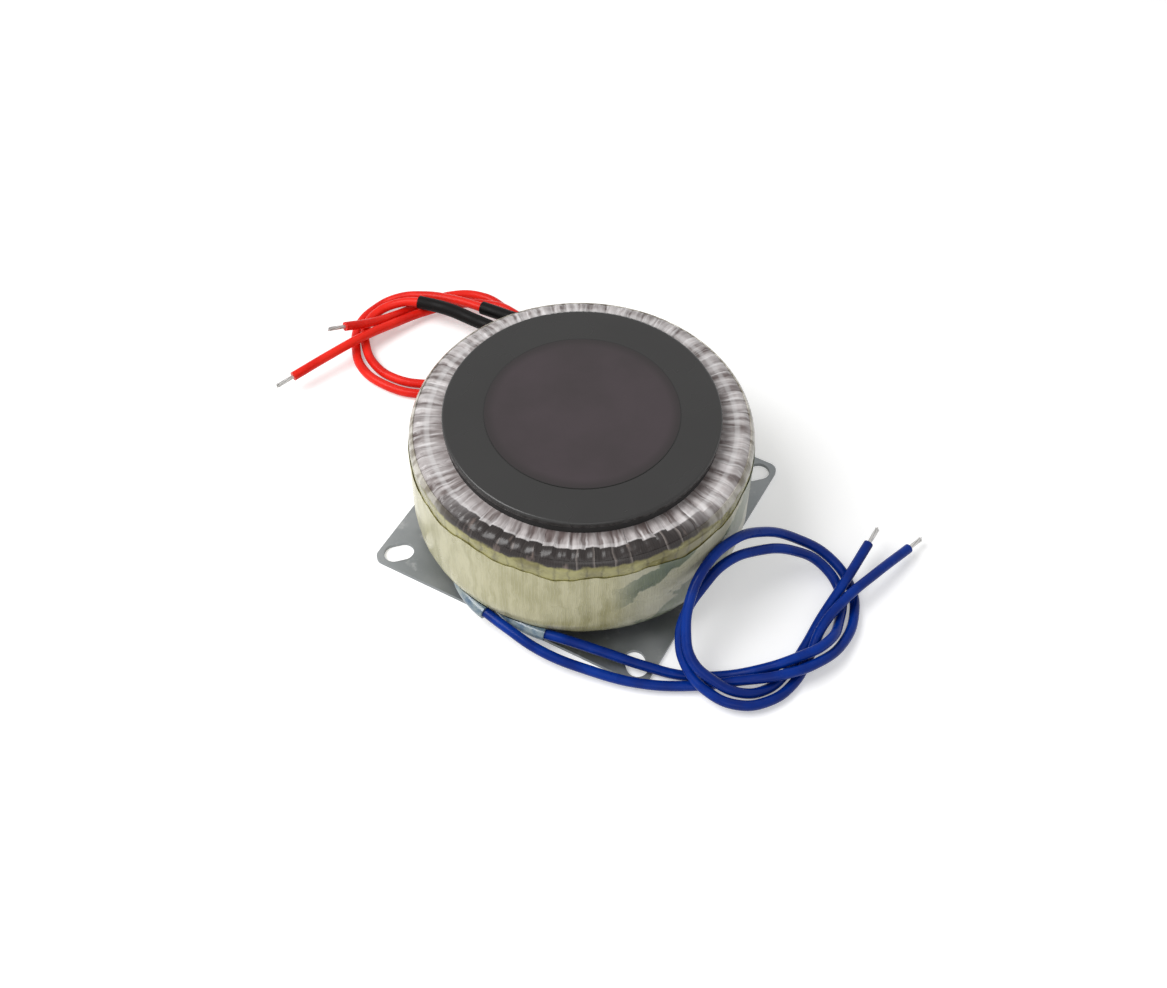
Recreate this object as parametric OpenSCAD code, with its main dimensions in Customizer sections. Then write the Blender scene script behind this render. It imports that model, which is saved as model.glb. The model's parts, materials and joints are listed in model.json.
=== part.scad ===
// Toroidal mains transformer on a square slotted plate, with a bolted cover disc and four flying leads.
// Origin: centre of the plate's underside. +Z up, plate corners on the X and Y axes. Millimetres.

/* [Mounting plate] */
// Side of the square plate
plate_side = 73; // [70:0.5:80]
// Thickness of the plate
plate_t = 1; // [0.8:0.1:1.6]
// Radius of the plate's four corners
plate_corner_r = 2.2; // [1:0.1:4]
// Width of each corner slot
slot_w = 5; // [4.2:0.1:5.4]
// End-to-end length of each corner slot
slot_len = 7.3; // [6:0.1:8]
// Distance from the plate's sharp corner in to the middle of a slot
slot_inset = 6.3; // [5.8:0.1:7]

/* [Wound body] */
// Diameter over the finished winding, side tape included
body_d = 80; // [78:0.5:84]
// Height of the wound body between its pads
body_h = 32.1; // [30:0.1:36]
// Diameter of the hole left through the wound body
hole_d = 23.2; // [22:0.2:25]
// Radius of the upper outer shoulder of the film
shoulder_r = 3.2; // [2.6:0.1:4]
// Radius of the lower outer corner of the film
foot_r = 9; // [8:0.1:10]
// Radius of the corners at the hole
hole_corner_r = 5; // [4:0.1:6]

/* [Layers] */
// Thickness of the outer side tape
side_tape_t = 0.24; // [0.2:0.02:0.4]
// Thickness of the first tape under it
under_tape_t = 0.22; // [0.1:0.02:0.3]
// Thickness of the lapped outer film
film_t = 0.9; // [0.9:0.05:1.2]
// Thickness of the secondary winding on the outside
secondary_t = 2; // [1.6:0.1:2.4]
// Thickness of the tape between the windings
interlayer_t = 0.4; // [0.3:0.05:0.6]
// Thickness of the primary winding on the outside
primary_t = 2.2; // [1.8:0.1:2.6]
// Thickness of the wrap on the core
core_wrap_t = 0.5; // [0.4:0.05:0.8]
// How much thicker the windings lie in the hole than outside
crowding = 1.3; // [1.2:0.05:1.5]
// Gap between one layer and the next
layer_gap = 0.02; // [0.02:0.005:0.04]

/* [Film and tape surface] */
// Turns of film around the ring
film_turns = 72; // [60:1:76]
// Height of the edge of each film turn
film_lap = 0.3; // [0.1:0.05:0.4]
// Depth of the waves in the edges of the side tape
tape_wave = 0.7; // [0.2:0.1:1]

/* [Cover and pads] */
// Diameter of the cover disc
cover_d = 63.7; // [61:0.1:65]
// Thickness of the cover disc
cover_t = 1.9; // [1.5:0.1:2.4]
// Radius of the cover disc's rim
cover_rim_r = 0.6; // [0.3:0.05:0.7]
// Thickness of the pad under the cover disc
upper_pad_t = 1.85; // [1.4:0.05:2.4]
// How far the cover disc overhangs its pad
cover_overhang = 0.35; // [0.1:0.05:0.6]
// Diameter of the pad on the plate
lower_pad_d = 58; // [54:0.5:60]
// Thickness of the pad on the plate
lower_pad_t = 1.5; // [1.2:0.1:2]
// Inner diameter of the dish pressed into the cover
dish_d = 16.6; // [16:0.2:17.4]
// Depth of the dish below the cover's top
dish_depth = 7.4; // [7:0.1:9]
// Wall of the dish
dish_wall = 1.5; // [1:0.1:1.6]
// Diameter of the label
label_d = 44.8; // [40:0.2:50]
// Thickness of the label
label_t = 0.12; // [0.08:0.01:0.2]

/* [Centre fastener] */
// Diameter of the centre screw
screw_d = 5; // [4.6:0.1:5.4]
// Diameter of the screw's countersunk head
head_d = 9.2; // [8.6:0.1:9.6]
// Width across the flats of the nut
nut_af = 8; // [7.6:0.1:8.4]
// Thickness of the nut
nut_t = 4; // [3.4:0.1:4.2]
// Outer diameter of the flat washer
washer_d = 10; // [9.4:0.1:11]
// Thickness of the flat washer
washer_t = 1; // [0.8:0.1:1.2]
// Thickness of the spring washer
spring_t = 1.2; // [1:0.1:1.4]
// Radial clearance around the screw
screw_gap = 0.15; // [0.1:0.05:0.3]

/* [Leads] */
// Diameter of each insulated lead
lead_d = 2.4; // [2.2:0.05:2.5]
// Diameter of the tinned strands
tip_d = 1.3; // [1:0.05:1.5]
// Bare length at the end of each lead
tip_len = 5; // [3:0.5:8]
// Outer diameter of the black sleeve on each red lead
sleeve_d = 3.5; // [3.3:0.05:3.6]
// Wall of tape over a lead at its exit
cover_tape_t = 0.5; // [0.4:0.05:0.8]

/* [Hidden] */
$fn = 96;
eps = 0.01;
least_corner = 0.6;

// Heights, from the plate up
body_z0 = plate_t + lower_pad_t;
body_z1 = body_z0 + body_h;
cover_z0 = body_z1 + upper_pad_t;
cover_z1 = cover_z0 + cover_t;

// Radii, from the outside in
tape_build = under_tape_t + 2 * layer_gap;
film_r = body_d / 2 - side_tape_t - tape_build;
hole_r = hole_d / 2;
pad_r = cover_d / 2 - cover_overhang;

// Depth of each layer's outer surface below the film's, outside and in the hole
secondary_in = film_t + layer_gap;
interlayer_in = secondary_in + secondary_t + layer_gap;
primary_in = interlayer_in + interlayer_t + layer_gap;
wrap_in = primary_in + primary_t + layer_gap;
core_in = wrap_in + core_wrap_t + layer_gap;
crowd_secondary = secondary_t * (crowding - 1);
crowd_primary = primary_t * (crowding - 1);

// Centre of the arc at the lower outer corner, on which the leads leave
foot_c_r = film_r - foot_r;
foot_c_z = body_z0 + foot_r;
outer_build = tape_build + side_tape_t;

// Plate
half_diagonal = plate_side / sqrt(2);
slot_r = half_diagonal - slot_inset;
head_flat = 0.2;
head_cone_h = (head_d - screw_d) / 2;
dimple_top_r = screw_d / 2 + plate_t + 1;

// Fastener stack inside the dish
dish_floor_z = cover_z1 - dish_depth;
nut_z = dish_floor_z + washer_t + spring_t;
screw_top = nut_z + nut_t - 0.2;

// ---------- Shapes that repeat ----------

// Section of a ring about the Z axis with four rounded corners:
// [lower inner, lower outer, upper outer, upper inner]
module ring_section(r0, r1, z0, z1, c) {
    polygon([
        [r0 + c[0], z0], [r1 - c[1], z0], [r1, z0 + c[1]], [r1, z1 - c[2]],
        [r1 - c[2], z1], [r0 + c[3], z1], [r0, z1 - c[3]], [r0, z0 + c[0]]
    ]);
    translate([r0 + c[0], z0 + c[0]]) circle(c[0]);
    translate([r1 - c[1], z0 + c[1]]) circle(c[1]);
    translate([r1 - c[2], z1 - c[2]]) circle(c[2]);
    translate([r0 + c[3], z1 - c[3]]) circle(c[3]);
}

// The wound ring after its outer layers are taken off: depth outside, and extra depth in the hole
module wound_section(depth, extra) {
    ring_section(
        hole_r + depth + extra, film_r - depth, body_z0 + depth, body_z1 - depth,
        [
            max(least_corner, hole_corner_r - depth - extra), max(least_corner, foot_r - depth),
            max(least_corner, shoulder_r - depth), max(least_corner, hole_corner_r - depth - extra)
        ]
    );
}

// A closed layer between two depths
module layer(depth, extra, inner_depth, inner_extra) {
    rotate_extrude()
        difference() {
            wound_section(depth, extra);
            wound_section(inner_depth, inner_extra);
        }
}

module washer(r_in, r_out, t) {
    difference() {
        cylinder(h = t, r = r_out);
        translate([0, 0, -eps]) cylinder(h = t + 2 * eps, r = r_in);
    }
}

module rounded_square(side, r) {
    flat = side - 2 * r;
    square([side, flat], center = true);
    square([flat, side], center = true);
    for (x = [-1, 1], y = [-1, 1])
        translate([x * flat / 2, y * flat / 2]) circle(r);
}

// Closes a grid of points, columns by rows, that runs round in both directions
function grid_faces(cols, rows) = [
    for (i = [0 : cols - 1], j = [0 : rows - 1])
        let(
            a = i * rows + j,
            b = i * rows + (j + 1) % rows,
            c = ((i + 1) % cols) * rows + (j + 1) % rows,
            d = ((i + 1) % cols) * rows + j
        )
        each [[a, b, c], [a, c, d]]
];

// Points of an arc in the (radius, height) plane, with its outward direction
function arc_rows(c_r, c_z, r, from, to, steps) = [
    for (k = [0 : steps])
        let(a = from + (to - from) * k / steps)
        [c_r + r * cos(a), c_z + r * sin(a), cos(a), sin(a)]
];

function at_angle(r, z, a) = [r * cos(a), r * sin(a), z];
function unit(v) = v / norm(v);
function flatten(list) = [for (part = list) each part];

// ---------- Film wrap ----------

// Outline of the film, from the hole over the foot and the shoulder and back, with the share of
// a lap's height that shows at each point: the laps stand proud only where nothing presses on them
film_rows = let(
    h = hole_corner_r,
    hole_low = arc_rows(hole_r + h, body_z0 + h, h, 180, 270, 2),
    foot = arc_rows(foot_c_r, foot_c_z, foot_r, 270, 360, 3),
    shoulder = arc_rows(film_r - shoulder_r, body_z1 - shoulder_r, shoulder_r, 0, 90, 4),
    hole_high = arc_rows(hole_r + h, body_z1 - h, h, 90, 180, 2),
    shoulder_share = [0, 0, 0, 0.9, 1]
) concat(
    [for (p = hole_low) concat(p, [0])],
    [for (p = foot) concat(p, [0])],
    [for (k = [0 : 4]) concat(shoulder[k], [shoulder_share[k]])],
    [[pad_r + 0.7, body_z1, 0, 1, 0.75], [pad_r + 0.1, body_z1, 0, 1, 0]],
    [for (p = hole_high) concat(p, [0])]
);

// Each turn starts with a raised edge and falls to its neighbour, and no two are quite alike
lap_share = [0.45, 1];
lap_phase = [0, 0.28];
function turn_height(i) = film_lap * (0.72 + 0.2 * sin(i * 137) + 0.08 * cos(i * 61));
function turn_shift(i) = 0.12 * sin(i * 83) + 0.06 * cos(i * 29);

film_points = [
    for (i = [0 : film_turns - 1], k = [0, 1])
        let(
            a = 360 / film_turns * (i + lap_phase[k] + turn_shift(i)),
            h = turn_height(i) * (lap_share[k] * 2 - 1)
        )
        for (p = film_rows)
            at_angle(p[0] + p[2] * p[4] * h, p[1] + p[3] * p[4] * h, a)
];

module outer_film() {
    color([0.78, 0.75, 0.76])
        difference() {
            polyhedron(film_points, grid_faces(2 * film_turns, len(film_rows)), convexity = 6);
            rotate_extrude() wound_section(film_t, 0);
        }
}

// ---------- Side tape ----------

tape_cols = 120;
tape_foot_steps = 3;
tape_in = tape_build;

// The lower edge hangs lower over the leads, and both edges wander
function near(a, centre, width) = let(d = (a - centre) / width) exp(-d * d);
function tape_low_angle(a) =
    40 + 4 * tape_wave * sin(5 * a + 40) + 2.5 * tape_wave * sin(11 * a) - 13 * near(a, 229, 17);
function tape_high(a) =
    body_z1 - shoulder_r - 1.2 + tape_wave * (0.9 * sin(7 * a) + 0.6 * sin(17 * a + 50) - 0.8);
function tape_thickness(a, row) =
    side_tape_t * (1 + 0.12 * sin(9 * a + 70 * row) + 0.07 * sin(23 * a + 40 * row));

// One side of the tape, from its lower edge up
function tape_side(a, offset, swell) = let(
    low = tape_low_angle(a),
    wall_z0 = foot_c_z,
    wall_z1 = tape_high(a)
) concat(
    [
        for (k = [0 : tape_foot_steps])
            let(
                f = low + (90 - low) * k / tape_foot_steps,
                r = foot_r + offset + swell * tape_thickness(a, k)
            )
            at_angle(foot_c_r + r * sin(f), foot_c_z - r * cos(f), a)
    ],
    [
        for (k = [1 : 3])
            at_angle(film_r + offset + swell * tape_thickness(a, k + 3), wall_z0 + (wall_z1 - wall_z0) * k / 3, a)
    ]
);
function reversed(list) = [for (k = [len(list) - 1 : -1 : 0]) list[k]];

tape_rows = 2 * (tape_foot_steps + 4);
tape_points = [
    for (i = [0 : tape_cols - 1])
        let(a = 360 * i / tape_cols)
        each concat(tape_side(a, tape_in, 1), reversed(tape_side(a, tape_in, 0)))
];

module side_tape() {
    color([0.82, 0.81, 0.66])
        polyhedron(tape_points, grid_faces(tape_cols, tape_rows), convexity = 6);
}

// The tape below it shows above its upper edge, and ends half-way round the shoulder
module under_tape() {
    arc_in = shoulder_r + layer_gap;
    arc_out = arc_in + under_tape_t;
    color([0.55, 0.53, 0.28])
        rotate_extrude() {
            translate([film_r + layer_gap, foot_c_z])
                square([under_tape_t, body_z1 - shoulder_r - foot_c_z]);
            translate([film_r - shoulder_r, body_z1 - shoulder_r])
                intersection() {
                    difference() {
                        circle(arc_out);
                        circle(arc_in);
                    }
                    polygon([[0, 0], [2 * arc_out, 0], [2 * arc_out, 2 * arc_out]]);
                }
        }
}

// ---------- Leads ----------

lead_r = lead_d / 2;
sleeve_r = sleeve_d / 2;
cord_sides = 8;
sleeve_bore_gap = 0.05;
exit_lift = 7;
exit_bend_r = 22;
exit_sweep = 44;
exit_air = 0.05;

// Where a lead leaves the side: angle round the body, angle up the foot arc, and its own radius
function exit_point(round, up, r) = let(reach = foot_r + outer_build + r + exit_air)
    at_angle(foot_c_r + reach * sin(up), foot_c_z - reach * cos(up), round);
// It leaves along the side and slightly away from it
function exit_way(round) = [-sin(round - exit_lift), cos(round - exit_lift), 0];
function exit_out(round) = [cos(round - exit_lift), sin(round - exit_lift), 0];
function exit_start(e, r) = [
    exit_point(e[0], e[1], r),
    exit_point(e[0], e[1], r) + e[2] * exit_way(e[0])
];

// Angle round the body, angle up the foot arc, straight length
blue_a_exit = [-140, 55, 6];
blue_b_exit = [-118, 55, 5];
red_a_exit = [66, 74, 6];
red_b_exit = [40, 74, 6];

// Points that each lead passes after its exit
blue_a_route = concat(exit_start(blue_a_exit, lead_r), [
    [-20.5, -38, 4], [-11, -45.5, 3], [-1, -51.5, 2.5], [10, -55, 2], [20.5, -57.5, 3.5],
    [29.5, -59.5, 5], [38.5, -58.5, 4.5], [47, -54, 2.5], [53, -46.5, 1.5], [55, -39, 1.5],
    [52.5, -32.5, 4.5], [44.5, -28.5, 10.5], [34.5, -29, 17.5], [25, -33, 22], [17.5, -38, 22],
    [13, -42.5, 18.5], [10.5, -47.5, 13.5], [10.5, -52.5, 9], [14, -57, 6], [19.5, -60.5, 3.5],
    [26, -60.5, 2], [32.5, -57, 1.5], [38.5, -52, 1.5], [44.5, -46.5, 3], [52.5, -40, 5],
    [62, -31.5, 6]
]);
blue_b_route = concat(exit_start(blue_b_exit, lead_r), [
    [-6.5, -42.5, 4], [1.5, -47.5, 2.5], [9, -51.5, 1.5], [17, -54, 1.5], [25.5, -56, 3.5],
    [34, -56.5, 5.5], [42.5, -54.5, 5.5], [48.5, -48, 2.5], [52, -40, 1.5], [50, -34, 4.5],
    [42.5, -31.5, 10.5], [32.5, -32.5, 15.5], [23.5, -35.5, 18], [17, -39.5, 17],
    [12, -43, 13.5], [9.5, -47, 9.5], [9.5, -52, 6], [12.5, -58.5, 4], [18, -63, 3],
    [25.5, -63.5, 2], [32.5, -60.5, 1.5], [38, -55.5, 2.5], [43.5, -49.5, 4.5],
    [51, -44.5, 5.5], [60.5, -39.5, 5], [72, -33.5, 3]
]);
red_a_route = concat(exit_start(red_a_exit, sleeve_r), [
    [5, 47.5, 8], [-2.5, 56, 7], [-10, 64, 6.5], [-16.5, 70.5, 6.5], [-23, 75.5, 6],
    [-29, 78, 4.5], [-34.5, 77, 3.5], [-38, 73.5, 3], [-39.5, 67.5, 2], [-38.5, 60.5, 1.5],
    [-34.5, 54.5, 1.5], [-27.5, 50.5, 1.5], [-18.5, 49, 1.5], [-9.5, 51, 2], [-3, 57, 2],
    [0, 65, 1.5], [-1.5, 72.5, 1.5], [-6.5, 78, 1.5], [-13.5, 80, 1.5], [-21, 79, 1.5],
    [-29, 76, 2.5], [-36.5, 72.5, 5], [-44, 70, 8]
]);
red_b_route = concat(exit_start(red_b_exit, sleeve_r), [
    [23, 39, 8.5], [16, 47, 8], [8, 54.5, 7.5], [0, 61.5, 7], [-7.5, 68.5, 6.5],
    [-14, 74.5, 5.5], [-21, 79, 4.5], [-28, 81, 3.5], [-34.5, 80, 2], [-39.5, 76, 1.5],
    [-42, 68.5, 1.5], [-42, 60.5, 1.5], [-37.5, 53, 1.5], [-29.5, 47.5, 1.5], [-19, 45.5, 2],
    [-8, 48, 2.5], [0, 53.5, 3], [2.5, 60.5, 4], [-0.5, 67.5, 4.5], [-6, 72.5, 3.5],
    [-13.5, 75.5, 2.5], [-22, 75, 2.5], [-31, 72, 3.5], [-40, 68, 5], [-49.5, 63.5, 5.5],
    [-60, 59, 5]
]);

// How many of a red lead's first points its sleeve covers
sleeve_a_points = 7;
sleeve_b_points = 7;

function way(p, i) =
    i == 0 ? unit(p[1] - p[0]) :
    i == len(p) - 1 ? unit(p[i] - p[i - 1]) :
    unit(unit(p[i + 1] - p[i]) + unit(p[i] - p[i - 1]));
function ring_at(c, d, r) = let(side = unit(cross(d, [0, 0, 1])), up = cross(side, d)) [
    for (k = [0 : cord_sides - 1])
        let(a = 360 * k / cord_sides)
        c + r * (cos(a) * side + sin(a) * up)
];
function rings(p, r) = flatten([for (i = [0 : len(p) - 1]) ring_at(p[i], way(p, i), r)]);
function wall_faces(count, first) = [
    for (i = [0 : count - 2], k = [0 : cord_sides - 1])
        let(
            a = first + i * cord_sides + k,
            b = first + i * cord_sides + (k + 1) % cord_sides
        )
        each [[a, b, b + cord_sides], [a, b + cord_sides, a + cord_sides]]
];
function turned(faces) = [for (f = faces) reversed(f)];

// A solid cord along its route
module cord(p, r) {
    last = (len(p) - 1) * cord_sides;
    polyhedron(
        rings(p, r),
        concat(
            wall_faces(len(p), 0),
            [[for (k = [cord_sides - 1 : -1 : 0]) k]],
            [[for (k = [0 : cord_sides - 1]) last + k]]
        ),
        convexity = 8
    );
}

// A hollow sleeve along the first points of a route
module sleeve(p, r_in, r_out) {
    n = len(p);
    inner = n * cord_sides;
    end = (n - 1) * cord_sides;
    polyhedron(
        concat(rings(p, r_out), rings(p, r_in)),
        concat(
            wall_faces(n, 0),
            turned(wall_faces(n, inner)),
            [
                for (k = [0 : cord_sides - 1])
                    let(next = (k + 1) % cord_sides)
                    each [
                        [k, inner + k, inner + next], [k, inner + next, next],
                        [end + next, inner + end + next, inner + end + k],
                        [end + next, inner + end + k, end + k]
                    ]
            ]
        ),
        convexity = 8
    );
}

// Tinned strands, from the end of a lead straight on
module bare_tip(p) {
    d = way(p, len(p) - 1);
    color([0.78, 0.78, 0.8])
        translate(p[len(p) - 1])
            rotate([0, acos(d[2]), atan2(d[1], d[0])])
                cylinder(h = tip_len, d = tip_d);
}

// Tape laid over a lead where it leaves: a low ridge that rises out of the side
module exit_hump(e, r) {
    centre = exit_point(e[0], e[1], r) - exit_bend_r * exit_out(e[0]);
    translate(centre)
        rotate([0, 0, e[0] - exit_lift - exit_sweep])
            rotate_extrude(angle = exit_sweep)
                translate([exit_bend_r, 0]) circle(r + cover_tape_t);
}

// Everything inside the side's surface, grown outwards
module side_envelope(grow) {
    arc_r = foot_r + grow;
    translate([foot_c_r, foot_c_z]) circle(arc_r);
    translate([0, foot_c_z]) square([foot_c_r + arc_r, body_z1 - foot_c_z]);
    translate([0, foot_c_z - arc_r]) square([foot_c_r, body_z1 - foot_c_z + arc_r]);
}

module exit_tape(exits, r) {
    color([0.8, 0.8, 0.68])
        difference() {
            for (e = exits) exit_hump(e, r);
            rotate_extrude() side_envelope(outer_build + side_tape_t * 0.5);
        }
}
module blue_exit_tape() { exit_tape([blue_a_exit, blue_b_exit], lead_r); }
module red_exit_tape() { exit_tape([red_a_exit, red_b_exit], sleeve_r); }

module blue_lead(p) { color([0.04, 0.18, 0.6]) cord(p, lead_r); }
module red_lead(p) { color([0.9, 0.2, 0.15]) cord(p, lead_r); }
module black_sleeve(p, count) {
    color([0.1, 0.1, 0.1])
        sleeve([for (i = [0 : count - 1]) p[i]], lead_r + sleeve_bore_gap, sleeve_r);
}

// ---------- Plate, pads and cover ----------

module mounting_plate() {
    color([0.52, 0.53, 0.55])
        difference() {
            union() {
                linear_extrude(plate_t)
                    difference() {
                        rotate([0, 0, 45]) rounded_square(plate_side, plate_corner_r);
                        for (a = [0 : 90 : 270])
                            rotate([0, 0, a]) slot();
                    }
                // Dimple pressed up around the countersunk head
                cylinder(h = head_flat + head_cone_h + plate_t, r1 = dimple_top_r + head_cone_h + 1, r2 = dimple_top_r);
            }
            translate([0, 0, -eps]) cylinder(h = head_flat + 2 * eps, r = head_d / 2 + screw_gap);
            translate([0, 0, head_flat]) cylinder(h = head_cone_h, d1 = head_d, d2 = screw_d);
            cylinder(h = head_cone_h + 3 * plate_t, r = screw_d / 2 + screw_gap);
        }
}

module slot() {
    reach = (slot_len - slot_w) / 2;
    translate([slot_r, 0]) {
        square([2 * reach, slot_w], center = true);
        for (x = [-reach, reach]) translate([x, 0]) circle(slot_w / 2);
    }
}

module lower_pad() {
    color([0.12, 0.12, 0.12])
        translate([0, 0, plate_t])
            washer(hole_r, lower_pad_d / 2, lower_pad_t);
}

module upper_pad() {
    color([0.08, 0.08, 0.08])
        translate([0, 0, body_z1])
            washer(hole_r, pad_r, upper_pad_t);
}

// Flat disc with a rounded rim and a dish that reaches down into the hole of the body
module cover_disc() {
    dish_r = dish_d / 2;
    rim = cover_rim_r;
    color([0.27, 0.27, 0.27])
        rotate_extrude()
            difference() {
                union() {
                    translate([0, cover_z0]) square([cover_d / 2 - rim, cover_t]);
                    translate([0, cover_z0 + rim]) square([cover_d / 2, cover_t - 2 * rim]);
                    for (z = [cover_z0 + rim, cover_z1 - rim])
                        translate([cover_d / 2 - rim, z]) circle(rim);
                    translate([0, dish_floor_z - dish_wall])
                        square([dish_r + dish_wall, dish_depth]);
                }
                translate([-eps, dish_floor_z]) square([dish_r + eps, dish_depth + 1]);
                translate([-eps, dish_floor_z - dish_wall - eps])
                    square([screw_d / 2 + screw_gap + eps, dish_wall + 2 * eps]);
            }
}

module label() {
    color([0.3, 0.26, 0.29])
        translate([0, 0, cover_z1]) cylinder(h = label_t, d = label_d);
}

// ---------- Centre fastener ----------

module centre_screw() {
    recess_w = 0.18 * head_d;
    color([0.7, 0.7, 0.72])
        difference() {
            union() {
                translate([0, 0, eps]) cylinder(h = head_flat, d = head_d);
                translate([0, 0, head_flat])
                    cylinder(h = head_cone_h, d1 = head_d, d2 = screw_d);
                translate([0, 0, head_flat]) cylinder(h = screw_top - head_flat, d = screw_d);
            }
            for (a = [0, 90])
                rotate([0, 0, a])
                    translate([0, 0, 0.6])
                        cube([screw_d, recess_w, 1.4], center = true);
        }
}

module flat_washer() {
    color([0.72, 0.72, 0.74])
        translate([0, 0, dish_floor_z]) washer(screw_d / 2 + screw_gap, washer_d / 2, washer_t);
}

module spring_washer() {
    color([0.35, 0.35, 0.36])
        translate([0, 0, dish_floor_z + washer_t])
            difference() {
                washer(screw_d / 2 + screw_gap, nut_af / 2 + 0.4, spring_t);
                // Split of the spring washer
                rotate([20, 0, 0])
                    translate([0, -0.3, -spring_t]) cube([nut_af, 0.6, 3 * spring_t]);
            }
}

module nut() {
    color([0.72, 0.72, 0.74])
        translate([0, 0, nut_z])
            difference() {
                cylinder(h = nut_t, d = nut_af / cos(30), $fn = 6);
                translate([0, 0, -eps]) cylinder(h = nut_t + 2 * eps, r = screw_d / 2 + eps);
            }
}

// ---------- Core and windings ----------

module core() {
    color([0.45, 0.46, 0.48])
        rotate_extrude() wound_section(core_in, crowd_secondary + crowd_primary);
}
module core_wrap() {
    color([0.85, 0.83, 0.75])
        layer(
            wrap_in, crowd_secondary + crowd_primary,
            core_in - layer_gap, crowd_secondary + crowd_primary
        );
}
module primary_winding() {
    color([0.72, 0.4, 0.2])
        layer(primary_in, crowd_secondary, wrap_in - layer_gap, crowd_secondary + crowd_primary);
}
module interlayer_tape() {
    color([0.8, 0.78, 0.5])
        layer(interlayer_in, crowd_secondary, primary_in - layer_gap, crowd_secondary);
}
module secondary_winding() {
    color([0.75, 0.43, 0.22])
        layer(secondary_in, 0, interlayer_in - layer_gap, crowd_secondary);
}

mounting_plate();
lower_pad();
core();
core_wrap();
primary_winding();
interlayer_tape();
secondary_winding();
outer_film();
under_tape();
side_tape();
blue_exit_tape();
red_exit_tape();
upper_pad();
cover_disc();
centre_screw();
flat_washer();
spring_washer();
nut();
label();
blue_lead(blue_a_route);  // blue_lead_a
blue_lead(blue_b_route);  // blue_lead_b
red_lead(red_a_route);  // red_lead_a
red_lead(red_b_route);  // red_lead_b
black_sleeve(red_a_route, sleeve_a_points);  // sleeve_a
black_sleeve(red_b_route, sleeve_b_points);  // sleeve_b
bare_tip(blue_a_route);  // blue_tip_a
bare_tip(blue_b_route);  // blue_tip_b
bare_tip(red_a_route);  // red_tip_a
bare_tip(red_b_route);  // red_tip_b
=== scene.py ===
import json
import math

import bpy
from mathutils import Matrix, Vector


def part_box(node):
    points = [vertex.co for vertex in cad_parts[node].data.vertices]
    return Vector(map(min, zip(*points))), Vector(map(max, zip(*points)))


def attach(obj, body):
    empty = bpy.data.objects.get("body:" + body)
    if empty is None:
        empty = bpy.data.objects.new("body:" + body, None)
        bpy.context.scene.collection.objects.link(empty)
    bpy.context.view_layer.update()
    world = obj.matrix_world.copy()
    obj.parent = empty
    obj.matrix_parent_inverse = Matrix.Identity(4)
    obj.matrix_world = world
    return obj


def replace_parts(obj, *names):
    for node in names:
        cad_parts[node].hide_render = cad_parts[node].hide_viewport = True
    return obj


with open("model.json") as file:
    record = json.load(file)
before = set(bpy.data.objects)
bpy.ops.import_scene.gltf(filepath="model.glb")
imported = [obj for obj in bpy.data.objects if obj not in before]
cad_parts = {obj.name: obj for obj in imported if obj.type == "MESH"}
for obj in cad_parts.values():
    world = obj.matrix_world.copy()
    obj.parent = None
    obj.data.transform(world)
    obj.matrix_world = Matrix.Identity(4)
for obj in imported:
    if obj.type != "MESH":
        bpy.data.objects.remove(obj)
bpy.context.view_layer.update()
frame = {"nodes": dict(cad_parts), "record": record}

# ---------------------------------------------------------------------------
# Sizes, in metres unless the name says degrees
# ---------------------------------------------------------------------------

MM = 0.001

pad_low, pad_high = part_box("upper_pad")

layer_gap = 0.02 * MM
tape_build = 0.26 * MM
film_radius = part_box("under_tape")[1].x - tape_build + layer_gap
film_top = pad_low.z
film_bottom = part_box("lower_pad")[1].z
shoulder = 3.2 * MM
foot = 9.0 * MM
hole_corner = 5.0 * MM
hole_radius = 11.6 * MM
pad_radius = pad_high.x
turns = 72
lap = 0.3 * MM

lead_radius = 1.2 * MM
sleeve_radius = 1.75 * MM
sleeve_wall = 0.45 * MM
exit_gap = 0.55 * MM
bare_length = 5 * MM
strand_radius = 0.19 * MM

sky_light = 0.42
floor_lift = 0.32

# ---------------------------------------------------------------------------
# Helpers for objects
# ---------------------------------------------------------------------------

def deselect():
    """Nothing stays selected or active."""
    if bpy.context.object and bpy.context.object.mode != "OBJECT":
        bpy.ops.object.mode_set(mode="OBJECT")
    bpy.ops.object.select_all(action="DESELECT")


def pick(thing):
    """Only this object is selected, and it is the active one."""
    deselect()
    thing.hide_set(False)
    thing.select_set(True)
    bpy.context.view_layer.objects.active = thing


def finished(thing, name, surface=None):
    """Names a piece, gives it its material and lets it ride on the one body."""
    thing.name = name
    thing.data.name = name
    if surface:
        thing.data.materials.clear()
        thing.data.materials.append(surface)
    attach(thing, "root")
    return thing


def apply_modifiers(thing):
    pick(thing)
    for modifier in list(thing.modifiers):
        bpy.ops.object.modifier_apply(modifier=modifier.name)


def edit(thing, *steps):
    """Runs the steps in edit mode with everything selected."""
    pick(thing)
    bpy.ops.object.mode_set(mode="EDIT")
    bpy.ops.mesh.select_all(action="SELECT")
    for step in steps:
        step()
    bpy.ops.object.mode_set(mode="OBJECT")


def join(things):
    pick(things[0])
    for thing in things:
        thing.select_set(True)
    bpy.ops.object.join()
    return bpy.context.object


def laid_grid(across, along, place):
    """A grid of faces laid over a surface: place(u, v) gives each point, u and v from 0 to 1."""
    deselect()
    bpy.ops.mesh.primitive_grid_add(x_subdivisions=across, y_subdivisions=along, size=1)
    grid = bpy.context.object
    for corner in grid.data.vertices:
        corner.co = place(corner.co.x + 0.5, corner.co.y + 0.5)
    return grid


def close_ring(thing):
    edit(
        thing,
        lambda: bpy.ops.mesh.remove_doubles(threshold=0.000002),
        lambda: bpy.ops.mesh.normals_make_consistent(inside=False),
    )


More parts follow.
